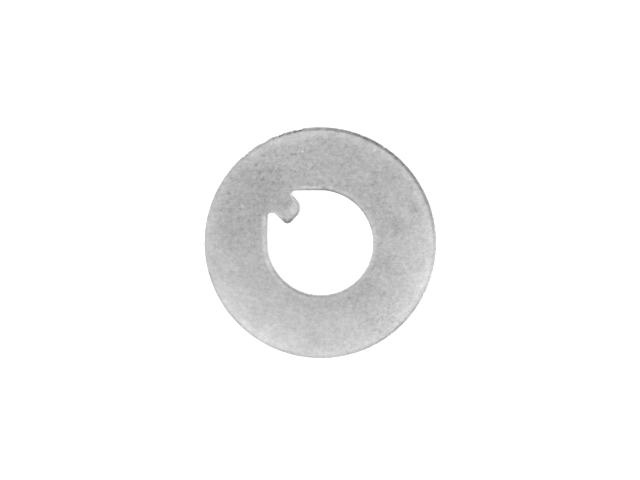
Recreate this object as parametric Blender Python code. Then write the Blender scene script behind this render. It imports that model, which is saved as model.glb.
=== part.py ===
"""Spindle nut washer: one blanked steel disc with a keyed bore and a locking tab.

Metres, +Z up. The origin lies on the bore's axis at the underside. Seen from above, the bore
runs out into two flats, one along X at its top and one along Y at its left, and the tab points
from the corner between them towards the axis.
"""

import math

import bmesh
import bpy

MM = 0.001

# Disc
OUTER_DIAMETER = 43.0 * MM
THICKNESS = 3.0 * MM

# Bore: a round hole for a 19.05 mm spindle thread, with a flat tangent to it on either side of the tab
BORE_DIAMETER = 19.5 * MM

# Tab: it slides along the keyway of the spindle
TAB_REACH = 3.25 * MM  # from the round wall of the bore to the flat end of the tab
TAB_WIDTH = 4.6 * MM
TAB_OFFSET = 0.25 * MM  # sideways from the line through the axis, towards the X flat
TAB_BROAD_CORNER = 2.0 * MM  # radius on the side of the X flat
TAB_TIGHT_CORNER = 0.9 * MM  # radius on the side of the Y flat

# Relief at each side of the tab's root, measured along its end wall from the flat
RELIEF_DEPTH_X_FLAT = 1.05 * MM
RELIEF_DEPTH_Y_FLAT = 1.35 * MM
RELIEF_FILLET = 0.6 * MM  # between a flat and the end wall of its relief
TAB_ROOT_FILLET = 0.4 * MM  # between that end wall and the side of the tab

# Section of the cut edge, from the rolled upper side down to the underside
ROLLOVER_WIDTH = 0.45 * MM
ROLLOVER_DEPTH = 0.4 * MM
ROLLOVER_LIMIT = 0.9  # its width stays under this share of the tab's tighter corner
TAB_ROLLOVER_GAIN = 1.5  # the end of the tab is drawn down this much further than the rest
BURNISHED_BAND = 1.0 * MM
FRACTURE_TAPER = 0.15 * MM  # the torn lower wall leans into the metal by this much
EDGE_BREAK = 0.15 * MM  # radius of the tumbled lower edge

# Facets
OUTER_STEPS = 144
BORE_STEPS = 90
CORNER_STEPS = 6
ROLLOVER_STEPS = 4
EDGE_BREAK_STEPS = 2

SATIN_STEEL = {"color": (0.42, 0.42, 0.42, 1.0), "roughness": 0.45, "metallic": 1.0}
SHARP_ANGLE = math.radians(35)


def clear_scene():
    for obj in list(bpy.data.objects):
        bpy.data.objects.remove(obj)


def steel_material(name, finish):
    material = bpy.data.materials.new(name)
    material.use_nodes = True
    shader = material.node_tree.nodes["Principled BSDF"]
    shader.inputs["Base Color"].default_value = finish["color"]
    shader.inputs["Roughness"].default_value = finish["roughness"]
    shader.inputs["Metallic"].default_value = finish["metallic"]
    return material


def arc(centre, radius, start, end, steps):
    """Outline points along an arc, each as (x, y, metal_x, metal_y).

    start and end are headings of travel. Metal lies to the right of travel, and the last two
    numbers are the unit vector into it. A left turn has its centre in the bore, a right turn
    in the metal.
    """
    side = 1 if end > start else -1
    points = []
    for step in range(steps + 1):
        heading = start + (end - start) * step / steps
        metal = (math.sin(heading), -math.cos(heading))
        x = centre[0] + side * radius * metal[0]
        y = centre[1] + side * radius * metal[1]
        points.append((x, y, *metal))
    return points


def rounded_corners(start, corners, end):
    """Arcs for a chain of (x, y, radius) corners between two straight ends.

    A radius is limited where its side is too short for it and its neighbour.
    """
    chain = [(*start, 0.0), *corners, (*end, 0.0)]
    lengths = [math.dist(a[:2], b[:2]) for a, b in zip(chain, chain[1:])]
    headings = [math.atan2(b[1] - a[1], b[0] - a[0]) for a, b in zip(chain, chain[1:])]
    turns = [math.remainder(b - a, math.tau) for a, b in zip(headings, headings[1:])]
    tangents = [0.0, *(c[2] * math.tan(abs(t) / 2) for c, t in zip(corners, turns)), 0.0]
    shares = [min(1.0, length / max(a + b, length)) for a, b, length in zip(tangents, tangents[1:], lengths)]
    points = []
    for index, (corner, turn) in enumerate(zip(corners, turns)):
        limit = min(shares[index], shares[index + 1])
        radius = corner[2] * limit
        tangent = tangents[index + 1] * limit
        heading = headings[index]
        side = math.copysign(1, turn)
        centre_x = corner[0] - tangent * math.cos(heading) - side * radius * math.sin(heading)
        centre_y = corner[1] - tangent * math.sin(heading) + side * radius * math.cos(heading)
        points += arc((centre_x, centre_y), radius, heading, heading + turn, CORNER_STEPS)
    return points


def bore_outline():
    """The whole outline of the hole, anticlockwise from the lower end of the Y flat.

    Both sides of the tab satisfy x + y = a constant, and its end x - y = another.
    """
    bore_radius = BORE_DIAMETER / 2
    diagonal = math.sqrt(2)
    upper_side = (TAB_OFFSET + TAB_WIDTH / 2) * diagonal
    lower_side = (TAB_OFFSET - TAB_WIDTH / 2) * diagonal
    tab_end = (bore_radius - TAB_REACH) * diagonal
    upper_root_y = bore_radius - RELIEF_DEPTH_X_FLAT
    upper_root_x = upper_side - upper_root_y
    lower_root_x = RELIEF_DEPTH_Y_FLAT - bore_radius
    lower_root_y = lower_side - lower_root_x
    corners = [
        (upper_root_x, bore_radius, RELIEF_FILLET),
        (upper_root_x, upper_root_y, TAB_ROOT_FILLET),
        ((upper_side - tab_end) / 2, (upper_side + tab_end) / 2, TAB_BROAD_CORNER),
        ((lower_side - tab_end) / 2, (lower_side + tab_end) / 2, TAB_TIGHT_CORNER),
        (lower_root_x, lower_root_y, TAB_ROOT_FILLET),
        (-bore_radius, lower_root_y, RELIEF_FILLET),
    ]
    round_wall = arc((0, 0), bore_radius, 1.5 * math.pi, 3 * math.pi, BORE_STEPS)
    return round_wall + rounded_corners((0, bore_radius), corners, (-bore_radius, 0))


def outer_outline():
    """The outer circle, clockwise, so that the metal is again to the right of travel."""
    full_turn = arc((0, 0), OUTER_DIAMETER / 2, math.tau, 0, OUTER_STEPS)
    return full_turn[:-1]


def rollover_gain(x, y):
    """How much further the edge is drawn down here than on the round walls: 1 away from the tab."""
    bore_radius = BORE_DIAMETER / 2
    share = (bore_radius - math.hypot(x, y)) / TAB_REACH
    return 1 + (TAB_ROLLOVER_GAIN - 1) * min(1.0, max(0.0, share))


def edge_section(gain):
    """(inset into the metal, height) pairs from the upper face down to the underside."""
    width = min(ROLLOVER_WIDTH * gain, ROLLOVER_LIMIT * TAB_TIGHT_CORNER)
    depth = ROLLOVER_DEPTH * gain
    levels = []
    for step in range(ROLLOVER_STEPS + 1):
        turn = math.pi / 2 * step / ROLLOVER_STEPS
        levels.append((width * (1 - math.sin(turn)), THICKNESS - depth * (1 - math.cos(turn))))
    levels.append((0.0, THICKNESS - depth - BURNISHED_BAND))
    for step in range(EDGE_BREAK_STEPS + 1):
        turn = math.pi / 2 * step / EDGE_BREAK_STEPS
        levels.append((FRACTURE_TAPER + EDGE_BREAK * (1 - math.cos(turn)), EDGE_BREAK * (1 - math.sin(turn))))
    return levels


def add_ring(bm, outline, level):
    """One closed ring of edges at the given level of the edge section."""
    verts = []
    for x, y, metal_x, metal_y in outline:
        inset, height = edge_section(rollover_gain(x, y))[level]
        verts.append(bm.verts.new((x + metal_x * inset, y + metal_y * inset, height)))
    return [bm.edges.new(pair) for pair in zip(verts, verts[1:] + verts[:1])]


def cut_edge(bm, outline):
    """The wall along one outline, and its uppermost and lowest rings."""
    rings = [add_ring(bm, outline, level) for level in range(len(edge_section(1.0)))]
    for upper, lower in zip(rings, rings[1:]):
        bmesh.ops.bridge_loops(bm, edges=upper + lower)
    return rings[0], rings[-1]


def build_washer():
    bm = bmesh.new()
    outer_top, outer_bottom = cut_edge(bm, outer_outline())
    bore_top, bore_bottom = cut_edge(bm, bore_outline())
    bmesh.ops.triangle_fill(bm, use_beauty=True, edges=outer_top + bore_top, normal=(0, 0, 1))
    bmesh.ops.triangle_fill(bm, use_beauty=True, edges=outer_bottom + bore_bottom, normal=(0, 0, -1))
    bmesh.ops.recalc_face_normals(bm, faces=bm.faces)
    mesh = bpy.data.meshes.new("tab_washer")
    bm.to_mesh(mesh)
    bm.free()
    mesh.shade_smooth()
    mesh.set_sharp_from_angle(angle=SHARP_ANGLE)
    mesh.materials.append(steel_material("satin_steel", SATIN_STEEL))
    washer = bpy.data.objects.new("tab_washer", mesh)
    bpy.context.scene.collection.objects.link(washer)
    return washer


clear_scene()
build_washer()
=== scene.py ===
"""Looks of a blanked steel tab washer: a mottled satin face, rolled edges and a dark torn wall, with painted
shade and painted highlight along the edges.

The washer lies flat. Its outline is drawn again in fine steps, at the frame's own size, and the
section of the cut edge is pulled from it ring by ring. Sizes and places are in metres, but in the
finishes they are in millimetres. Headings are in degrees about the axis of the bore, from +X
towards +Y.
"""

import logging
import math
import random
from dataclasses import dataclass
from enum import Enum

import bmesh
import bpy
from bmesh.types import BMesh, BMFace, BMVert
from bpy.types import NodeSocket
from mathutils import Matrix, Vector, noise


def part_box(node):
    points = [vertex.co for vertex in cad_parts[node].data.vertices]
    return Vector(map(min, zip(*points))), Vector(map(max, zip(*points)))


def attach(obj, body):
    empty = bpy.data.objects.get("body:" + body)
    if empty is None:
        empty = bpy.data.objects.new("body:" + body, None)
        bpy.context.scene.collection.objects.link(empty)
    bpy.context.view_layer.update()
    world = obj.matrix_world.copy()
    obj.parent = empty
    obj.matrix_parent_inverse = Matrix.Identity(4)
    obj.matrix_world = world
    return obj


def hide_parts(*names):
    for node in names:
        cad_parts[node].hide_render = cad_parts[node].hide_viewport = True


MM = 0.001
NODE = "tab_washer"

MERGE_DISTANCE = 1e-8  # points closer than this are one
LEVEL = 1e-6  # an edge that rises less than this lies level
UPRIGHT = 0.5  # a normal whose part along the plane is longer than this belongs to the wall
FLAT = 0.02  # a normal whose part along the plane is shorter than this belongs to a flat face
GRAIN_MIDDLE = 0.5  # what a soft noise runs about
GRAIN_SHIFT = (7.3, 3.1, 5.7)  # where in the noise a grain starts, times its size

log = logging.getLogger("tab_washer")

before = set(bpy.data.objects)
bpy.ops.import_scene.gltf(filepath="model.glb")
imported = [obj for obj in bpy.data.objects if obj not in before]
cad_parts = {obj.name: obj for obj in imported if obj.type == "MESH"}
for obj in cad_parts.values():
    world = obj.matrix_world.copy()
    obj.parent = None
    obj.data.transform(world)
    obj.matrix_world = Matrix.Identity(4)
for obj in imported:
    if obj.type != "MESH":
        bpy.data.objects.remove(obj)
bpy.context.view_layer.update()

Value = NodeSocket | float


class Zone(Enum):
    """The two surfaces of the washer, by the index of their material."""

    FACE = 0
    CUT = 1


class Sum(Enum):
    """The sums that a finish works out, each by its name in Blender."""

    ADD = "ADD"
    SUBTRACT = "SUBTRACT"
    MULTIPLY = "MULTIPLY"
    DIVIDE = "DIVIDE"
    SMALLER = "MINIMUM"
    LARGER = "MAXIMUM"
    IS_OVER = "GREATER_THAN"
    IS_UNDER = "LESS_THAN"


def fade(value: float, none: float, full: float) -> float:
    """Run smoothly from 0 at one value to 1 at another."""
    share = min(1.0, max(0.0, (value - none) / (full - none)))
    return share * share * (3 - 2 * share)


def on_circle(radius: float, heading: float) -> tuple[float, float]:
    """Find the point at a heading on a circle about the axis."""
    turn = math.radians(heading)
    return radius * math.cos(turn), radius * math.sin(turn)


@dataclass(frozen=True)
class Stretch:
    """A stretch of a rim, with a gain in its middle that fades to nothing at its spread."""

    middle: float
    spread: float
    gain: float

    def share(self, heading: float) -> float:
        """Say what the stretch adds at a heading."""
        away = abs((heading - self.middle + 180) % 360 - 180) / self.spread
        return self.gain * (1 - away * away) ** 2 if away < 1 else 0.0


@dataclass(frozen=True)
class Line:
    """A line along a whole rim, stronger or weaker from stretch to stretch."""

    base: float
    stretches: tuple[Stretch, ...]

    def share(self, heading: float) -> float:
        """Say how strong the line is at a heading."""
        return self.base + sum(stretch.share(heading) for stretch in self.stretches)


@dataclass(frozen=True)
class Band:
    """A band of the rolled edge, by the distances from the wall where it starts and is full."""

    start: float
    full: float

    def share(self, inset: float) -> float:
        """Say how full the band is at a distance from the wall."""
        return fade(inset, self.start, self.full)


@dataclass(frozen=True)
class Spot:
    """A round spot of the edge, full in its core and fading out to its reach."""

    x: float
    y: float
    reach: float
    core: float

    def share(self, x: float, y: float) -> float:
        """Say how full the spot is at a place."""
        return fade(math.hypot(x - self.x, y - self.y), self.reach, self.core)


@dataclass(frozen=True)
class ShadeSpot:
    """Painted shade in one spot and one band of the edge, or painted highlight where the gain is below 0."""

    spot: Spot
    band: Band
    gain: float

    def share(self, x: float, y: float, inset: float) -> float:
        """Say what the painted shade adds at a place, which lies at an inset from the wall."""
        return self.gain * self.spot.share(x, y) * self.band.share(inset)


STEEP = Band(0.45 * MM, 0.15 * MM)
TAB_EDGE = Band(0.85 * MM, 0.5 * MM)
TIP = Spot(-6.0 * MM, 3.8 * MM, 1.75 * MM, 0.5 * MM)
AROUND_TIP = Spot(-6.0 * MM, 3.8 * MM, 2.6 * MM, 1.6 * MM)
BROAD_CORNER = Spot(-4.0 * MM, 6.4 * MM, 2.1 * MM, 0.9 * MM)
UPPER_FLANK = Spot(-4.9 * MM, 8.2 * MM, 1.6 * MM, 0.7 * MM)
LOWER_FLANK = Spot(-7.8 * MM, 5.0 * MM, 1.5 * MM, 0.7 * MM)


@dataclass(frozen=True)
class PaintedShading:
    """Painted shade on the steep end of the rolled edge: 0 where none is painted, 1 where it is black, below
    0 a painted highlight.
    """

    outer_start: float = 20.2 * MM
    outer_line: Line = Line(0.08, (
        Stretch(165, 50, -0.08), Stretch(62, 85, 0.38), Stretch(311, 32, 0.12), Stretch(228, 36, 0.09),
    ))
    outer_band: Band = Band(0.75 * MM, 0.33 * MM)
    outer_unevenness: float = 0.6
    outer_blotch: float = 0.55 * MM
    bore_line: Line = Line(0.0, (
        Stretch(78, 60, 0.33), Stretch(97, 16, 0.1), Stretch(250, 60, 0.13), Stretch(178, 11, 0.13),
    ))
    bore_band: Band = Band(0.6 * MM, 0.3 * MM)
    # Painted highlight on the steep end of the bore's edge, and of the tab's.
    bore_highlight: Line = Line(0.0, (Stretch(117, 11, 0.15), Stretch(345, 55, 0.2)))
    tab_highlight: float = 0.45
    # Painted shade at the tab's tip and broad corner, painted highlight along its flanks and at the very edge
    # of tip and corner.
    shade_spots: tuple[ShadeSpot, ...] = (
        ShadeSpot(TIP, Band(0.9 * MM, 0.5 * MM), 0.44),
        ShadeSpot(TIP, Band(0.3 * MM, 0.1 * MM), -0.198),
        ShadeSpot(AROUND_TIP, STEEP, 0.45),
        ShadeSpot(BROAD_CORNER, Band(0.58 * MM, 0.4 * MM), 0.3),
        ShadeSpot(BROAD_CORNER, Band(0.3 * MM, 0.15 * MM), -0.12),
        ShadeSpot(UPPER_FLANK, TAB_EDGE, -0.2),
        ShadeSpot(UPPER_FLANK, STEEP, -0.4),
        ShadeSpot(LOWER_FLANK, TAB_EDGE, -0.12),
        ShadeSpot(LOWER_FLANK, STEEP, -0.2),
    )

    def share(self, x: float, y: float, inset: float, on_tab: bool) -> float:
        """Say how dark the edge is at a place.

        Args:
            x: the place along X.
            y: the place along Y.
            inset: its distance from the wall.
            on_tab: whether it lies on the tab.

        Returns:
            The painted shade, below 0 where a painted highlight makes the edge brighter than the face.
        """
        heading = math.degrees(math.atan2(y, x))
        # Painted shade along the outer rim, in uneven blotches.
        if math.hypot(x, y) > self.outer_start:
            uneven = 1 + self.outer_unevenness * noise.noise(Vector((x, y, 0)) / self.outer_blotch)
            return self.outer_line.share(heading) * uneven * self.outer_band.share(inset)
        if on_tab:
            # Painted shade in spots of the tab's edge, less a painted highlight on its steep end.
            spotted_shade = sum(shade_spot.share(x, y, inset) for shade_spot in self.shade_spots)
            return spotted_shade - self.tab_highlight * STEEP.share(inset)
        # Painted shade along the bore, less a painted highlight on its steep end.
        line = self.bore_line.share(heading) * self.bore_band.share(inset)
        return line - self.bore_highlight.share(heading) * STEEP.share(inset)


@dataclass(frozen=True)
class RubAndHighlight:
    """How pale the edge is, by rub and painted highlight: 1 is the usual paleness, more or less along parts
    of the rims.
    """

    outer_start: float = 12.6 * MM
    outer_line: Line = Line(0.3, (Stretch(95, 120, 0.7), Stretch(231, 32, 0.65), Stretch(345, 44, 0.8)))
    bore_line: Line = Line(0.7, (
        Stretch(172, 36, 1.1), Stretch(106, 20, 0.3), Stretch(98, 14, 0.9), Stretch(198, 20, 0.75),
        Stretch(300, 50, -0.3),
    ))
    broad_corner: Spot = Spot(-3.8 * MM, 7.2 * MM, 2.6 * MM, 1.8 * MM)
    broad_gain: float = 1.2

    def share(self, x: float, y: float) -> float:
        """Say how pale the edge is at a place, by rub and painted highlight.

        Args:
            x: the place along X.
            y: the place along Y.

        Returns:
            The strength of the rub and painted highlight.
        """
        heading = math.degrees(math.atan2(y, x))
        if math.hypot(x, y) > self.outer_start:
            return self.outer_line.share(heading)
        return self.bore_line.share(heading) + self.broad_gain * self.broad_corner.share(x, y)


@dataclass(frozen=True)
class Dent:
    """A small nick in a rim, pressed in all the way down the wall where it goes through."""

    x: float
    y: float
    depth: float
    reach: float
    through: bool = False
    # Painted shade in the nick.
    painted_shading: float = 0.2

    def bite(self, place: Vector) -> float:
        """Say how deep the nick is at a place."""
        away = math.hypot(place.x - self.x, place.y - self.y) / self.reach
        return self.depth * (1 - away * away) ** 2 if away < 1 else 0.0


@dataclass(frozen=True)
class Run:
    """A stretch of the outer rim with nicks strewn in it, from one heading to another."""

    start: float
    end: float
    count: int
    depth: float
    through: bool
    # Painted shade in the nicks of the run.
    painted_shading: float = 0.2


@dataclass(frozen=True)
class Nicks:
    """The nicks of both rims: chips and teeth given one by one, and small ones strewn in runs."""

    chips: tuple[Dent, ...] = (
        Dent(0.62 * MM, 10.22 * MM, 0.22 * MM, 0.62 * MM, False, 0.16),
        Dent(1.25 * MM, 9.98 * MM, 0.1 * MM, 0.6 * MM, False, 0.19),
        Dent(-10.65 * MM, 18.8 * MM, 0.16 * MM, 1.1 * MM, True, 0.12),
    )
    teeth: tuple[float, ...] = (110.5, 109.0, 106.5, 105.3, 102.8, 101.5)
    tooth_radius: float = 21.3 * MM
    tooth_depth: float = 0.09 * MM
    tooth_reach: float = 0.5 * MM
    # Painted shade in the teeth.
    tooth_painted_shading: float = 0.28
    runs: tuple[Run, ...] = (
        Run(99, 127, 17, 0.17 * MM, True, 0.5),
        Run(127, 150, 8, 0.14 * MM, True, 0.3),
        Run(50, 80, 9, 0.1 * MM, True),
        Run(25, 45, 4, 0.07 * MM, True),
        Run(333, 339, 3, 0.16 * MM, True),
        Run(250, 290, 9, 0.08 * MM, True),
        Run(0, 360, 30, 0.06 * MM, False),
    )
    run_inset: float = 0.05 * MM
    reaches: tuple[float, float] = (0.2 * MM, 0.45 * MM)
    depth_shares: tuple[float, float] = (0.4, 1.0)
    seed: int = 11

    def dents(self, rim_radius: float) -> list[Dent]:
        """Place every nick.

        Args:
            rim_radius: the radius of the outer rim.

        Returns:
            The chips, the teeth and the strewn nicks.
        """
        draw = random.Random(self.seed)
        found = list(self.chips)
        for heading in self.teeth:
            place = on_circle(self.tooth_radius, heading)
            found.append(Dent(*place, self.tooth_depth, self.tooth_reach, True, self.tooth_painted_shading))
        for run in self.runs:
            for _ in range(run.count):
                place = on_circle(rim_radius - self.run_inset, draw.uniform(run.start, run.end))
                reach = draw.uniform(*self.reaches)
                depth = draw.uniform(*self.depth_shares) * run.depth
                found.append(Dent(*place, depth, reach, run.through, run.painted_shading))
        return found


@dataclass(frozen=True)
class Corner:
    """A rounded corner of the outline of the bore."""

    x: float
    y: float
    radius: float

    def place(self) -> Vector:
        """Give the corner's place in the plane of the sheet."""
        return Vector((self.x, self.y, 0))


@dataclass(frozen=True)
class KeyedBore:
    """The outline of the bore: a round hole, two tangent flats, two reliefs and the tab."""

    radius: float = 9.75 * MM
    tab_reach: float = 3.25 * MM
    tab_width: float = 4.6 * MM
    tab_offset: float = 0.25 * MM
    broad_corner: float = 2.0 * MM
    tight_corner: float = 0.9 * MM
    relief_depth_x_flat: float = 1.05 * MM
    relief_depth_y_flat: float = 1.35 * MM
    relief_fillet: float = 0.6 * MM
    root_fillet: float = 0.4 * MM
    spacing: float = 0.1 * MM
    least_steps: int = 6
    tab_root: float = 0.1 * MM

    def corners(self) -> list[Corner]:
        """Find where the straight stretches of the outline meet.

        Returns:
            The six corners, anticlockwise from the relief beside the X flat.
        """
        diagonal = math.sqrt(2)
        upper_side = (self.tab_offset + self.tab_width / 2) * diagonal
        lower_side = (self.tab_offset - self.tab_width / 2) * diagonal
        tab_end = (self.radius - self.tab_reach) * diagonal
        upper_root_y = self.radius - self.relief_depth_x_flat
        upper_root_x = upper_side - upper_root_y
        lower_root_x = self.relief_depth_y_flat - self.radius
        lower_root_y = lower_side - lower_root_x
        return [
            Corner(upper_root_x, self.radius, self.relief_fillet),
            Corner(upper_root_x, upper_root_y, self.root_fillet),
            Corner((upper_side - tab_end) / 2, (upper_side + tab_end) / 2, self.broad_corner),
            Corner((lower_side - tab_end) / 2, (lower_side + tab_end) / 2, self.tight_corner),
            Corner(lower_root_x, lower_root_y, self.root_fillet),
            Corner(-self.radius, lower_root_y, self.relief_fillet),
        ]

    def tab_share(self, x: float, y: float) -> float:
        """Say how far out on the tab a place lies, from 0 at the round wall to 1 at its end."""
        inward = (self.radius - math.hypot(x, y)) / self.tab_reach
        return min(1.0, max(0.0, inward))

    def on_tab(self, x: float, y: float) -> bool:
        """Say whether a place lies between the two flats, where only the tab has metal."""
        limit = self.radius - self.tab_root
        return 0 < -x < limit and 0 < y < limit

    def steps(self, radius: float, turn: float) -> int:
        """Count the steps of an arc, for its radius and the angle it turns through."""
        return max(self.least_steps, round(abs(radius * turn) / self.spacing))

    def arc(self, bm: BMesh, start: Vector, centre: Vector, turn: float) -> list[BMVert]:
        """Spin one vertex into an arc.

        Args:
            bm: the mesh being drawn.
            start: where the arc begins.
            centre: what it turns about.
            turn: the angle, anticlockwise where positive.

        Returns:
            The first and the last vertex of the arc.
        """
        first = bm.verts.new(start)
        steps = self.steps((start - centre).length, turn)
        spun = bmesh.ops.spin(
            bm, geom=[first], cent=centre, axis=(0, 0, 1), angle=turn, steps=steps, use_duplicate=False
        )
        last = next(item for item in spun["geom_last"] if isinstance(item, BMVert))
        return [first, last]

    def draw(self, bm: BMesh) -> None:
        """Draw the closed outline of the bore.

        Args:
            bm: the mesh that takes the edges, which holds nothing else yet.
        """
        three_quarters = 1.5 * math.pi
        arcs = [self.arc(bm, Vector((-self.radius, 0, 0)), Vector((0, 0, 0)), three_quarters)]
        chain = [Corner(0, self.radius, 0), *self.corners(), Corner(-self.radius, 0, 0)]
        for before, corner, after in zip(chain, chain[1:], chain[2:]):
            back = (before.place() - corner.place()).normalized()
            ahead = (after.place() - corner.place()).normalized()
            turn = math.pi - back.angle(ahead)
            side = math.copysign(1, ahead.cross(back).z)
            start = corner.place() + back * corner.radius * math.tan(turn / 2)
            inward = Vector((0, 0, side)).cross(-back)
            arcs.append(self.arc(bm, start, start + inward * corner.radius, side * turn))
        gaps = zip(arcs, arcs[1:] + arcs[:1])
        straights = [bm.edges.new((arc[1], following[0])) for arc, following in gaps]
        for edge in straights:
            cuts = round(edge.calc_length() / self.spacing) - 1
            if cuts > 0:
                bmesh.ops.subdivide_edges(bm, edges=[edge], cuts=cuts)
        bmesh.ops.remove_doubles(bm, verts=bm.verts, dist=MERGE_DISTANCE)


@dataclass(frozen=True)
class CutEdge:
    """The section that the press leaves along every cut, from the face down to the underside."""

    sag_width: float = 0.85 * MM
    sag_depth: float = 0.14 * MM
    sag_power: float = 2.4
    roll_radius: float = 0.24 * MM
    burnish_height: float = 1.0 * MM
    tear_margin: float = 0.01 * MM
    tear_lean: float = 0.16 * MM
    tear_wander: float = 0.2 * MM
    tear_wander_length: float = 1.1 * MM
    tear_wander_reach: float = 0.6 * MM
    tear_grain: float = 0.035 * MM
    tear_grain_size: float = 0.16 * MM
    tear_grain_drag: float = 0.35
    tear_grain_fade: float = 0.3 * MM
    break_radius: float = 0.15 * MM
    roll_steps: int = 7
    sag_steps: int = 8
    burnish_cuts: int = 3
    tear_steps: int = 12
    break_steps: int = 4

    def drop(self, inset: float) -> float:
        """Say how far the rolled edge lies below the face.

        Args:
            inset: the distance from the wall.

        Returns:
            The drop, 0 from the end of the sag on.
        """
        sag = self.sag_depth * max(0.0, 1 - inset / self.sag_width) ** self.sag_power
        reach = max(0.0, 1 - inset / self.roll_radius)
        return sag + self.roll_radius * (1 - math.sqrt(1 - reach * reach))

    def roll_insets(self) -> list[float]:
        """List how far from the wall the rings of the rolled edge lie.

        Returns:
            The distances, from the wall inwards.
        """
        quarter = math.pi / 2
        turns = [quarter * step / self.roll_steps for step in range(self.roll_steps + 1)]
        rest = self.sag_width - self.roll_radius
        gentle = [self.roll_radius + rest * (step + 1) / self.sag_steps for step in range(self.sag_steps)]
        return [self.roll_radius * (1 - math.cos(turn)) for turn in turns] + gentle


@dataclass
class Washer:
    """The washer itself: a disc with a keyed bore, cut edges and the marks of use."""

    outer_radius: float
    thickness: float
    bore: KeyedBore = KeyedBore()
    edge: CutEdge = CutEdge()
    nicks: Nicks = Nicks()
    # Painted shade and painted highlight of the rolled edge.
    painted_shading: PaintedShading = PaintedShading()
    # Rub and painted highlight of the rims, also a painted highlight on the tab's wall.
    rub_and_highlight: RubAndHighlight = RubAndHighlight()
    rim_segments: int = 1080
    ring_radii: tuple[float, ...] = (
        12.6 * MM, 14.6 * MM, 16.6 * MM, 18.4 * MM, 19.2 * MM, 19.7 * MM, 20.2 * MM,
    )
    dome: float = 0.03 * MM
    rim_fall: float = 0.05 * MM
    rim_fall_start: float = 19.0 * MM
    tab_sag: float = 0.16 * MM
    tab_roll_gain: float = 0.9
    tab_roll_full: float = 0.5
    sharp_angle: float = 50.0

    @classmethod
    def from_frame(cls) -> "Washer":
        """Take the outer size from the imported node."""
        low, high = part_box(NODE)
        return cls(outer_radius=(high.x - low.x) / 2, thickness=high.z - low.z)

    @property
    def band_top(self) -> float:
        """The height where the rolled edge ends and the burnished band starts."""
        return self.thickness - self.edge.drop(0)

    @property
    def tear_top(self) -> float:
        """The height where the burnished band ends and the torn wall starts."""
        return self.band_top - self.edge.burnish_height

    def sheet(self, bm: BMesh) -> None:
        """Fill the plane of the washer, with rings in it that let the face curve.

        Args:
            bm: an empty mesh.
        """
        self.bore.draw(bm)
        bore_edges = list(bm.edges)
        rings = []
        for radius in (*self.ring_radii, self.outer_radius):
            circle = set(bmesh.ops.create_circle(bm, segments=self.rim_segments, radius=radius)["verts"])
            rings.append([edge for edge in bm.edges if edge.verts[0] in circle])
        bmesh.ops.triangle_fill(bm, use_beauty=True, edges=bore_edges + rings[0], normal=(0, 0, 1))
        for inner, outer in zip(rings, rings[1:]):
            bmesh.ops.bridge_loops(bm, edges=inner + outer)
        bmesh.ops.recalc_face_normals(bm, faces=bm.faces)

    def slab(self, bm: BMesh) -> tuple[list[BMFace], list[BMFace]]:
        """Raise the sheet to the burnished band, the part of the wall that stands straight.

        Args:
            bm: the mesh that holds the sheet.

        Returns:
            The faces above the band and those below it.
        """
        below = list(bm.faces)
        raised = bmesh.ops.extrude_face_region(bm, geom=below)
        above = [item for item in raised["geom"] if isinstance(item, BMFace)]
        upper = [item for item in raised["geom"] if isinstance(item, BMVert)]
        lower = list({vert for face in below for vert in face.verts})
        bmesh.ops.translate(bm, verts=upper, vec=(0, 0, self.band_top))
        bmesh.ops.translate(bm, verts=lower, vec=(0, 0, self.tear_top))
        bmesh.ops.recalc_face_normals(bm, faces=bm.faces)
        caps = set(above) | set(below)
        for face in bm.faces:
            if face not in caps:
                face.material_index = Zone.CUT.value
        upright = [edge for edge in bm.edges if abs(edge.verts[0].co.z - edge.verts[1].co.z) > LEVEL]
        bmesh.ops.subdivide_edges(bm, edges=upright, cuts=self.edge.burnish_cuts, use_grid_fill=True)
        return above, below

    def pull(self, bm: BMesh, cap: list[BMFace], inset: float, rise: float, zone: Zone, roll: float) -> None:
        """Pull one ring of the section from the rim of a cap.

        Args:
            bm: the mesh.
            cap: the faces inside the rim, which shrink by the inset.
            inset: how far the ring runs into the metal.
            rise: how far the cap moves up, or down where negative.
            zone: the surface that the ring belongs to.
            roll: what the inner rim of the ring stores, 1 at the wall and 0 on a flat face.
        """
        layer = bm.verts.layers.float["roll"]
        pulled = bmesh.ops.inset_region(
            bm, faces=cap, thickness=inset, use_boundary=True, use_even_offset=True
        )
        for face in pulled["faces"]:
            face.material_index = zone.value
        inside = {vert for face in cap for vert in face.verts}
        bmesh.ops.translate(bm, verts=list(inside), vec=(0, 0, rise))
        for vert in {vert for face in pulled["faces"] for vert in face.verts} & inside:
            vert[layer] = roll

    def section(self, bm: BMesh, above: list[BMFace], below: list[BMFace]) -> None:
        """Pull the rolled edge from the upper cap, and the torn wall and lower edge from the other.

        Args:
            bm: the mesh.
            above: the faces over the burnished band.
            below: the faces under it.
        """
        edge = self.edge
        layer = bm.verts.layers.float.new("roll")
        for vert in bm.verts:
            vert[layer] = 1.0
        insets = edge.roll_insets()
        for outer, inner in zip(insets, insets[1:]):
            roll = 1 - inner / edge.sag_width
            self.pull(bm, above, inner - outer, edge.drop(outer) - edge.drop(inner), Zone.FACE, roll)
        lean = edge.tear_lean / edge.tear_steps
        fall = (self.tear_top - edge.break_radius) / edge.tear_steps
        for _ in range(edge.tear_steps):
            self.pull(bm, below, lean, -fall, Zone.CUT, 1.0)
        for step in range(edge.break_steps):
            start, end = (math.pi / 2 * turn / edge.break_steps for turn in (step, step + 1))
            inset = edge.break_radius * (math.cos(start) - math.cos(end))
            fall = edge.break_radius * (math.sin(end) - math.sin(start))
            self.pull(bm, below, inset, -fall, Zone.FACE, 1 - (step + 1) / edge.break_steps)
        self.pull(bm, below, edge.break_radius, 0.0, Zone.FACE, 0.0)
        for vert in {vert for face in above + below for vert in face.verts}:
            vert[layer] = 0.0

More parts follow.
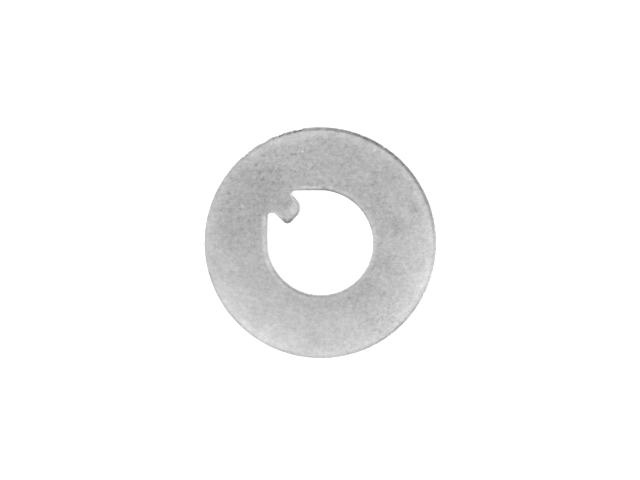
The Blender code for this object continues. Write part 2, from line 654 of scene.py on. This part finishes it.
    def curve_face(self, bm: BMesh) -> None:
        """Let the upper face fall away slightly to both rims, and draw the tab down further.

        The burnished band is squeezed with it, so that the torn wall below stays as it is.

        Args:
            bm: the finished section.
        """
        band_top, tear_top = self.band_top, self.tear_top
        middle = (self.outer_radius + self.bore.radius) / 2
        half = (self.outer_radius - self.bore.radius) / 2
        for vert in bm.verts:
            out = math.hypot(vert.co.x, vert.co.y)
            share = self.bore.tab_share(vert.co.x, vert.co.y)
            span = min(1.0, abs(out - middle) / half)
            past = max(0.0, out - self.rim_fall_start) / (self.outer_radius - self.rim_fall_start)
            fall = self.dome * span ** 2 + self.tab_sag * share ** 2 + self.rim_fall * past ** 2
            gain = self.tab_roll_gain * min(1.0, share / self.tab_roll_full)
            below_face = self.thickness - max(vert.co.z, band_top)
            in_band = min(1.0, max(0.0, (vert.co.z - tear_top) / self.edge.burnish_height))
            vert.co.z -= in_band * (below_face * gain + fall)

    def roughen(self, vert: BMVert, place: Vector, push: Vector) -> None:
        """Let the border of the torn wall wander at a point of the wall, and grain the steel under it.

        Args:
            vert: the point, which moves.
            place: where it was.
            push: its normal.
        """
        edge = self.edge
        near = max(0.0, 1 - abs(place.z - self.tear_top) / edge.tear_wander_reach)
        spot = Vector((place.x, place.y, 0)) / edge.tear_wander_length
        vert.co.z += edge.tear_wander * near * noise.noise(spot)
        if edge.break_radius / 2 < vert.co.z < self.tear_top:
            spot = Vector((place.x, place.y, place.z * edge.tear_grain_drag)) / edge.tear_grain_size
            depth = min(1.0, (self.tear_top - place.z) / edge.tear_grain_fade)
            vert.co -= push * edge.tear_grain * depth * noise.noise(spot)

    def wear(self, bm: BMesh) -> None:
        """Roughen the torn wall and press the nicks into the rims.

        Args:
            bm: the finished section.
        """
        shade = bm.verts.layers.float.new("shade")
        torn = bm.verts.layers.float.new("torn")
        bm.normal_update()
        tear_top = self.tear_top
        dents = self.nicks.dents(self.outer_radius)
        for vert in bm.verts:
            place, push = vert.co.copy(), vert.normal.copy()
            outward = Vector((push.x, push.y, 0))
            vert[torn] = 1.0 if place.z < tear_top - self.edge.tear_margin else 0.0
            if outward.length < FLAT:
                continue
            if outward.length > UPRIGHT:
                self.roughen(vert, place, push)
            high = min(1.0, max(0.0, (place.z - tear_top) / self.edge.burnish_height))
            for dent in dents:
                bite = dent.bite(place)
                if bite > 0:
                    vert.co -= (outward.normalized() if dent.through else push * high) * bite
                    # Painted shade in the nick, by how deep it bites.
                    vert[shade] = max(vert[shade], dent.painted_shading * bite / dent.depth)

    def store_painted_shading(self, bm: BMesh) -> None:
        """Store the painted shade and highlight of the edge, and its rub with painted highlight, on the mesh.

        Args:
            bm: the worn mesh.
        """
        roll = bm.verts.layers.float["roll"]
        shade = bm.verts.layers.float["shade"]
        polish_and_highlight = bm.verts.layers.float.new("polish_and_highlight")
        for vert in bm.verts:
            x, y, _ = vert.co
            inset = (1 - vert[roll]) * self.edge.sag_width
            # Painted shade and highlight of the edge, then its rub with painted highlight.
            vert[shade] += self.painted_shading.share(x, y, inset, self.bore.on_tab(x, y))
            vert[polish_and_highlight] = self.rub_and_highlight.share(x, y)

    def build(self) -> bpy.types.Object:
        """Make the washer's mesh and dress it.

        Returns:
            The finished object, at the origin.
        """
        bm = bmesh.new()
        self.sheet(bm)
        above, below = self.slab(bm)
        self.section(bm, above, below)
        self.curve_face(bm)
        self.wear(bm)
        self.store_painted_shading(bm)
        mesh = bpy.data.meshes.new("washer_blank")
        bm.to_mesh(mesh)
        bm.free()
        mesh.shade_smooth()
        mesh.set_sharp_from_angle(angle=math.radians(self.sharp_angle))
        face = SatinFace(self.bore.radius / MM, self.outer_radius / MM, self.thickness / MM)
        mesh.materials.append(face.material())
        mesh.materials.append(CutWall().material())
        piece = bpy.data.objects.new("washer_blank", mesh)
        bpy.context.scene.collection.objects.link(piece)
        return piece


@dataclass(frozen=True)
class Step:
    """A smooth step: where it starts and ends, and what it gives there."""

    start: float
    end: float
    at_start: float = 0.0
    at_end: float = 1.0


@dataclass(frozen=True)
class Grain:
    """A soft noise: the size of a blotch, its finer layers, and its share in the tone.

    The stretch says how much finer it is along each axis, and rough how strong its finer layers are.
    """

    size: float
    detail: float
    share: float = 1.0
    stretch: tuple[float, float, float] = (1.0, 1.0, 1.0)
    rough: float = 0.5


@dataclass(frozen=True)
class Region:
    """A round region of the face, with a gain that changes away from its middle."""

    x: float
    y: float
    gain: Step


@dataclass(frozen=True)
class Patch:
    """A round patch of the face that is darker or paler than the rest, full in its core."""

    x: float
    y: float
    reach: float
    gain: float
    core: float = 0.2


class Recipe:
    """Lays out the nodes of one metal finish, with places in millimetres on the object."""

    def __init__(self, name: str) -> None:
        """Start a material with its shader.

        Args:
            name: the material's name.
        """
        self.material = bpy.data.materials.new(name)
        self.material.use_nodes = True
        self.tree = self.material.node_tree
        self.shader = self.tree.nodes["Principled BSDF"]
        self.shader.inputs["Metallic"].default_value = 1.0
        coordinates = self.tree.nodes.new("ShaderNodeTexCoord")
        scaled = self.tree.nodes.new("ShaderNodeMapping")
        scaled.inputs["Scale"].default_value = (1 / MM, 1 / MM, 1 / MM)
        self.tree.links.new(coordinates.outputs["Object"], scaled.inputs["Vector"])
        self.place = scaled.outputs["Vector"]

    def plug(self, socket: NodeSocket, value: Value) -> None:
        """Give a socket its value.

        Args:
            socket: the input to fill.
            value: a socket to link it to, or a number to set it to.
        """
        if isinstance(value, NodeSocket):
            self.tree.links.new(value, socket)
        else:
            socket.default_value = value

    def calc(self, operation: Sum, first: Value, second: Value) -> NodeSocket:
        """Work out one sum.

        Args:
            operation: the sum.
            first: its first value.
            second: its second value.

        Returns:
            The socket of the result.
        """
        node = self.tree.nodes.new("ShaderNodeMath")
        node.operation = operation.value
        self.plug(node.inputs[0], first)
        self.plug(node.inputs[1], second)
        return node.outputs[0]

    def add(self, first: Value, second: Value) -> NodeSocket:
        """Add two values."""
        return self.calc(Sum.ADD, first, second)

    def minus(self, first: Value, second: Value) -> NodeSocket:
        """Take the second value from the first."""
        return self.calc(Sum.SUBTRACT, first, second)

    def times(self, first: Value, second: Value) -> NodeSocket:
        """Multiply two values."""
        return self.calc(Sum.MULTIPLY, first, second)

    def grain(self, grain: Grain) -> NodeSocket:
        """Scatter a soft noise over the piece.

        Args:
            grain: the noise.

        Returns:
            A socket that runs from 0 to 1 about the grain's middle.
        """
        scaled = self.tree.nodes.new("ShaderNodeMapping")
        scaled.inputs["Scale"].default_value = [part / grain.size for part in grain.stretch]
        scaled.inputs["Location"].default_value = [grain.size * shift for shift in GRAIN_SHIFT]
        self.tree.links.new(self.place, scaled.inputs["Vector"])
        node = self.tree.nodes.new("ShaderNodeTexNoise")
        node.inputs["Scale"].default_value = 1.0
        node.inputs["Detail"].default_value = grain.detail
        node.inputs["Roughness"].default_value = grain.rough
        self.tree.links.new(scaled.outputs["Vector"], node.inputs["Vector"])
        return node.outputs["Fac"]

    def ease(self, value: Value, step: Step) -> NodeSocket:
        """Turn a value into another along a smooth step.

        Args:
            value: the value to read.
            step: the step.

        Returns:
            The socket of the result.
        """
        node = self.tree.nodes.new("ShaderNodeMapRange")
        node.interpolation_type = "SMOOTHSTEP"
        self.plug(node.inputs["Value"], value)
        node.inputs["From Min"].default_value = step.start
        node.inputs["From Max"].default_value = step.end
        node.inputs["To Min"].default_value = step.at_start
        node.inputs["To Max"].default_value = step.at_end
        return node.outputs["Result"]

    def away_from(self, x: float, y: float, z: float) -> NodeSocket:
        """Measure the distance from a point of the object.

        Args:
            x: the point's place along X.
            y: its place along Y.
            z: its height.

        Returns:
            The socket of the distance.
        """
        node = self.tree.nodes.new("ShaderNodeVectorMath")
        node.operation = "DISTANCE"
        self.tree.links.new(self.place, node.inputs[0])
        node.inputs[1].default_value = (x, y, z)
        return node.outputs["Value"]

    def flat_place(self) -> list[NodeSocket]:
        """Read the place along X and along Y.

        Returns:
            The two sockets.
        """
        node = self.tree.nodes.new("ShaderNodeSeparateXYZ")
        self.tree.links.new(self.place, node.inputs[0])
        return [node.outputs[axis] for axis in "XY"]

    def stored(self, name: str) -> NodeSocket:
        """Read a value that the mesh stores.

        Args:
            name: the value's name on the mesh.

        Returns:
            The socket of the value.
        """
        node = self.tree.nodes.new("ShaderNodeAttribute")
        node.attribute_name = name
        return node.outputs["Fac"]

    def bump(self, height: NodeSocket, distance: float, strength: float) -> None:
        """Raise the surface in the shader.

        Args:
            height: a socket from 0 to 1.
            distance: what 1 stands for.
            strength: how much of it counts.
        """
        node = self.tree.nodes.new("ShaderNodeBump")
        node.inputs["Distance"].default_value = distance * MM
        node.inputs["Strength"].default_value = strength
        self.plug(node.inputs["Height"], height)
        self.tree.links.new(node.outputs["Normal"], self.shader.inputs["Normal"])


@dataclass(frozen=True)
class SatinFace:
    """The tumbled face: mottled grey steel, paler outwards on one side, with pale rings of rub and painted
    highlight along the rims, darker in one quarter.
    """

    bore_radius: float
    rim_radius: float
    face_height: float
    tone: float = 0.4
    cloud: Grain = Grain(4.5, 2.0, 0.27)
    mottle: Grain = Grain(0.78, 2.0, 0.57, rough=0.6)
    fine_mottle: Grain = Grain(0.32, 1.0, 0.48)
    streak: Grain = Grain(0.3, 1.0, 0.24, stretch=(0.16, 1.0, 1.0))
    calm_side: Region = Region(-13.0, -8.0, Step(8.0, 30.0, 0.88, 1.05))
    coarse_spot: Region = Region(13.4, -15.4, Step(2.0, 5.5, 1.65, 1.0))
    pit: Grain = Grain(0.55, 1.0, 0.19)
    pit_edge: Step = Step(0.58, 0.75)
    pitted_side: Region = Region(-9.0, 11.0, Step(20.0, 6.0, 0.3, 1.0))
    outward_paling: float = 0.3
    paling_heading: float = 280.0
    paling_side: Step = Step(-0.5, 0.4)
    paling_outwards: Step = Step(8.0, 21.0)
    # Rub and painted highlight in the pale rings along the rims.
    ring_rub_and_highlight: float = 0.22
    bore_ring: Step = Step(1.3, 0.5)
    bore_ring_start: float = -0.05
    flat_end: Step = Step(5.7, 4.5)
    wide_ring: Step = Step(4.5, 2.5, 0.0, 0.25)
    tight_ring: Step = Step(2.3, 1.1, 0.0, 0.75)
    ring_grain: Grain = Grain(2.2, 2.0)
    ring_unevenness: Step = Step(0.25, 0.75, 0.68, 1.32)
    gloss_grain: Grain = Grain(0.9, 2.0)
    roughness: Step = Step(0.25, 0.75, 0.37, 0.47)
    relief_grain: Grain = Grain(0.22, 3.0)
    relief: float = 0.02
    relief_strength: float = 0.5
    patches: tuple[Patch, ...] = (
        Patch(-11.0, 9.0, 13.0, -0.055),
        Patch(-11.0, 10.8, 5.5, -0.05),
        Patch(-14.6, 1.0, 5.0, -0.05),
        Patch(5.3, 14.4, 3.2, -0.05),
        Patch(13.6, 3.3, 3.0, -0.08),
        Patch(8.6, -8.9, 4.5, -0.05),
        Patch(-12.0, -16.4, 4.0, 0.05),
        Patch(-17.0, -4.2, 6.0, -0.06),
        Patch(10.2, -12.6, 4.2, -0.07),
        Patch(11.4, -3.2, 3.2, -0.05),
        Patch(-11.2, -6.4, 4.6, -0.055),
        Patch(15.6, 8.6, 4.6, 0.035),
        Patch(-13.0, -12.4, 5.0, -0.04),
        Patch(-6.2, 16.6, 4.0, 0.045),
        Patch(13.4, 9.6, 4.2, 0.05),
        Patch(-10.2, 14.4, 3.6, 0.05),
        Patch(-6.0, 18.8, 2.4, 0.05),
        Patch(19.0, -6.3, 3.6, 0.08),
        Patch(-6.2, 5.3, 2.4, 0.17, 0.4),
        # The pale patch below, on the tab, is painted highlight that lifts the shading of the drawn-down tab.
        Patch(-4.6, 6.5, 1.7, 0.35, 0.25),
        Patch(-6.1, 6.9, 1.5, -0.14),
        Patch(-6.9, 9.2, 1.3, 0.07, 0.3),
        Patch(-3.2, 17.0, 0.28, 0.7),
        Patch(-5.8, 6.5, 0.3, -0.1),
        Patch(-6.2, 6.1, 0.3, 0.1),
    )
    specks: tuple[tuple[float, float, float], ...] = (
        (-11.9, 14.5, -0.26), (13.7, 12.3, -0.2), (-9.3, 13.3, -0.2), (-14.6, 2.6, -0.2),
        (-17.0, 9.2, -0.18), (-5.6, 17.8, -0.16), (-15.1, 4.8, -0.17), (-10.4, 16.4, -0.16),
        (9.6, 10.7, -0.16), (-5.4, 10.5, -0.15), (-18.3, 6.1, -0.15), (-8.6, 11.1, -0.14),
        (17.4, 6.8, -0.14), (-12.3, 12.3, 0.2), (14.8, -2.1, 0.16), (10.0, 17.3, 0.15),
        (14.3, -13.5, 0.14), (17.6, 9.4, 0.14), (-14.2, 6.7, 0.13), (0.2, 12.3, 0.13),
    )
    speck_reach: float = 0.55

    def around(self, recipe: Recipe, region: Region) -> NodeSocket:
        """Work out the gain of a region of the face.

        Args:
            recipe: the material being laid out.
            region: the region.

        Returns:
            The socket of the gain.
        """
        return recipe.ease(recipe.away_from(region.x, region.y, self.face_height), region.gain)

    def paler_outwards(self, recipe: Recipe) -> NodeSocket:
        """Make the face paler outwards, on one side.

        Args:
            recipe: the material being laid out.

        Returns:
            The socket of the gain.
        """
        x, y = recipe.flat_place()
        along_x, along_y = on_circle(1.0, self.paling_heading)
        along = recipe.add(recipe.times(x, along_x), recipe.times(y, along_y))
        out = recipe.away_from(0, 0, self.face_height)
        side = recipe.ease(recipe.calc(Sum.DIVIDE, along, out), self.paling_side)
        return recipe.times(recipe.times(side, recipe.ease(out, self.paling_outwards)), self.outward_paling)

    def rim_ring(self, recipe: Recipe) -> NodeSocket:
        """Find the pale rings of rub and painted highlight along the outer rim and along the bore with its
        two flats.

        Args:
            recipe: the material being laid out.

        Returns:
            A socket that is about 1 in the rings and 0 on the rest of the face.
        """
        x, y = recipe.flat_place()
        out = recipe.away_from(0, 0, self.face_height)
        left = recipe.times(x, -1.0)
        in_quarter = recipe.calc(Sum.SMALLER, left, y)
        square = recipe.times(recipe.calc(Sum.LARGER, left, y), recipe.calc(Sum.IS_OVER, in_quarter, 0.0))
        round_part = recipe.times(out, recipe.calc(Sum.IS_UNDER, in_quarter, 0.0))
        from_bore = recipe.minus(recipe.add(square, round_part), self.bore_radius)
        beyond = recipe.calc(Sum.IS_OVER, from_bore, self.bore_ring_start)
        near_bore = recipe.times(recipe.ease(from_bore, self.bore_ring), beyond)
        inner = recipe.times(near_bore, recipe.ease(in_quarter, self.flat_end))
        from_rim = recipe.minus(self.rim_radius, out)
        outer = recipe.add(recipe.ease(from_rim, self.wide_ring), recipe.ease(from_rim, self.tight_ring))
        unevenness = recipe.ease(recipe.grain(self.ring_grain), self.ring_unevenness)
        return recipe.times(recipe.add(outer, inner), unevenness)

    def mottled(self, recipe: Recipe) -> NodeSocket:
        """Mix the clouds, blotches, rolling streaks and pits of the face.

        Args:
            recipe: the material being laid out.

        Returns:
            The socket of the gain, about 0.
        """
        total = 0.0
        for layer in (self.cloud, self.mottle, self.fine_mottle, self.streak):
            about_zero = recipe.minus(recipe.grain(layer), GRAIN_MIDDLE)
            total = recipe.add(total, recipe.times(about_zero, layer.share))
        for region in (self.calm_side, self.coarse_spot):
            total = recipe.times(total, self.around(recipe, region))
        pits = recipe.ease(recipe.grain(self.pit), self.pit_edge)
        pits = recipe.times(pits, self.around(recipe, self.pitted_side))
        return recipe.minus(total, recipe.times(pits, self.pit.share))

    def patched(self, recipe: Recipe, tone: NodeSocket) -> NodeSocket:
        """Add the patches and the specks to the tone.

        Args:
            recipe: the material being laid out.
            tone: the socket of the tone so far.

        Returns:
            The socket of the tone with them.
        """
        specks = tuple(Patch(x, y, self.speck_reach, gain) for x, y, gain in self.specks)
        for patch in self.patches + specks:
            inside = Region(patch.x, patch.y, Step(patch.reach, patch.core * patch.reach))
            tone = recipe.add(tone, recipe.times(self.around(recipe, inside), patch.gain))
        return tone

    def material(self) -> bpy.types.Material:
        """Lay out the material.

        Returns:
            The material.
        """
        recipe = Recipe("satin_face")
        tone = recipe.add(recipe.add(self.mottled(recipe), self.paler_outwards(recipe)), 1.0)
        tone = self.patched(recipe, tone)
        # Rub and painted highlight in the rings along the rims.
        ring = recipe.times(self.rim_ring(recipe), self.ring_rub_and_highlight)
        tone = recipe.add(tone, recipe.times(recipe.stored("polish_and_highlight"), ring))
        # Painted shade, stored on the mesh, darkens the tone.
        unshaded = recipe.minus(1.0, recipe.stored("shade"))
        recipe.plug(recipe.shader.inputs["Base Color"], recipe.times(recipe.times(tone, self.tone), unshaded))
        rough = recipe.ease(recipe.grain(self.gloss_grain), self.roughness)
        recipe.plug(recipe.shader.inputs["Roughness"], rough)
        recipe.bump(recipe.grain(self.relief_grain), self.relief, self.relief_strength)
        return recipe.material


@dataclass(frozen=True)
class CutWall:
    """The wall that the press left: a smooth streaked band above, torn dark steel below, both darkened
    further with painted shade, and a painted highlight on the tab.
    """

    # Partly the steel's own dark tone, partly painted shade.
    tone: Step = Step(0.0, 1.0, 0.16, 0.09)
    roughness: Step = Step(0.0, 1.0, 0.35, 0.7)
    # Painted highlight on the tab's wall, where the stored rub and highlight is high.
    tab_wall_highlight: Step = Step(1.4, 2.0, 1.0, 1.9)
    streaks: Grain = Grain(0.12, 2.0, stretch=(1.0, 1.0, 0.08))
    speckle: Grain = Grain(0.2, 3.0)
    unevenness: Step = Step(0.2, 0.8, 0.75, 1.25)
    relief: float = 0.02
    relief_strength: float = 0.6

    def material(self) -> bpy.types.Material:
        """Lay out the material.

        Returns:
            The material.
        """
        recipe = Recipe("cut_wall")
        torn = recipe.stored("torn")
        streaks = recipe.grain(self.streaks)
        # Painted shade in the dark tone, painted highlight on the tab's wall.
        tone = recipe.times(recipe.ease(torn, self.tone), recipe.ease(recipe.stored("polish_and_highlight"), self.tab_wall_highlight))
        for layer in (streaks, recipe.grain(self.speckle)):
            tone = recipe.times(tone, recipe.ease(layer, self.unevenness))
        recipe.plug(recipe.shader.inputs["Base Color"], tone)
        recipe.plug(recipe.shader.inputs["Roughness"], recipe.ease(torn, self.roughness))
        recipe.bump(streaks, self.relief, self.relief_strength)
        return recipe.material


@dataclass(frozen=True)
class SoftBox:
    """One soft light, by where it stands around the washer."""

    name: str
    heading: float
    height: float
    distance: float
    size: float
    brightness: float
    watts: float = 4.0  # of a square metre of it, at a brightness of 1

    def place(self) -> None:
        """Hang the light and turn it to the washer."""
        light = bpy.data.lights.new(self.name, "AREA")
        light.shape = "SQUARE"
        light.size = self.size
        light.energy = self.watts * self.size ** 2 * self.brightness
        lamp = bpy.data.objects.new(self.name, light)
        height = math.radians(self.height)
        towards = Vector((*on_circle(math.cos(height), self.heading), math.sin(height)))
        lamp.location = towards * self.distance
        lamp.rotation_euler = towards.to_track_quat("Z", "Y").to_euler()
        bpy.context.scene.collection.objects.link(lamp)


@dataclass(frozen=True)
class Studio:
    """A white table, soft lights and a long lens almost straight above."""

    washer_width: float
    tilt: float = 6.2
    tilt_heading: float = 65.0
    distance: float = 1.0
    sensor: float = 36.0
    picture_pixels: int = 640
    washer_pixels: float = 232.2
    picture_centre: tuple[float, float] = (-0.075 * MM, 0.475 * MM)
    aim_height: float = 1.5 * MM
    table_size: float = 3.0
    table_gap: float = 0.02 * MM
    table_tone: float = 0.9
    table_roughness: float = 0.9
    table_glow: float = 0.9
    sky: float = 0.82
    lights: tuple[SoftBox, ...] = (
        SoftBox("overhead", 245.0, 80.0, 1.6, 1.4, 0.36),
        SoftBox("left", 170.0, 40.0, 1.3, 0.9, 0.5),
        SoftBox("near", 250.0, 42.0, 1.3, 0.9, 0.25),
        SoftBox("right", 350.0, 40.0, 1.3, 0.9, 0.5),
        SoftBox("far", 110.0, 40.0, 1.3, 0.9, 0.45),
    )

    def floor(self) -> bpy.types.Object:
        """Lay the table top just under the washer.

        Returns:
            The table's object.
        """
        bm = bmesh.new()
        bmesh.ops.create_grid(bm, x_segments=1, y_segments=1, size=self.table_size / 2)
        bmesh.ops.translate(bm, verts=bm.verts, vec=(0, 0, -self.table_gap))
        mesh = bpy.data.meshes.new("table")
        bm.to_mesh(mesh)
        bm.free()
        material = bpy.data.materials.new("table_white")
        material.use_nodes = True
        shader = material.node_tree.nodes["Principled BSDF"]
        shader.inputs["Base Color"].default_value = (self.table_tone, self.table_tone, self.table_tone, 1.0)
        shader.inputs["Roughness"].default_value = self.table_roughness
        shader.inputs["Emission Color"].default_value = (1.0, 1.0, 1.0, 1.0)
        shader.inputs["Emission Strength"].default_value = self.table_glow
        mesh.materials.append(material)
        table = bpy.data.objects.new("table", mesh)
        bpy.context.scene.collection.objects.link(table)
        return table

    def camera(self) -> None:
        """Stand the camera at the photograph's viewing angle, with the picture's top along +Y."""
        tilt = math.radians(self.tilt)
        back = Vector((*on_circle(math.sin(tilt), self.tilt_heading), math.cos(tilt)))
        right = Vector((0, 1, 0)).cross(back).normalized()
        turn = Matrix((right, back.cross(right), back)).transposed()
        picture_width = self.washer_width * self.picture_pixels / self.washer_pixels
        data = bpy.data.cameras.new("long_lens")
        data.sensor_width = self.sensor
        data.lens = self.sensor * self.distance / picture_width
        camera = bpy.data.objects.new("long_lens", data)
        aim = Vector((*self.picture_centre, self.aim_height))
        camera.matrix_world = Matrix.Translation(aim + back * self.distance) @ turn.to_4x4()
        bpy.context.scene.collection.objects.link(camera)
        bpy.context.scene.camera = camera

    def sky_light(self) -> None:
        """Fill the room with an even pale light."""
        world = bpy.data.worlds.new("room")
        world.use_nodes = True
        background = world.node_tree.nodes["Background"]
        background.inputs["Color"].default_value = (1.0, 1.0, 1.0, 1.0)
        background.inputs["Strength"].default_value = self.sky
        bpy.context.scene.world = world

    def set_up(self) -> None:
        """Put the whole stage in place."""
        self.floor()
        for light in self.lights:
            light.place()
        self.camera()
        self.sky_light()
        bpy.context.scene.view_settings.view_transform = "Standard"


def main() -> None:
    """Build the washer and its stage, and report each piece."""
    logging.basicConfig(level=logging.INFO, format="%(message)s")
    washer = Washer.from_frame()
    piece = washer.build()
    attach(piece, "root")
    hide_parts(NODE)
    log.info("%s: %d faces", piece.name, len(piece.data.polygons))
    Studio(washer_width=2 * washer.outer_radius).set_up()


if __name__ == "__main__":
    main()
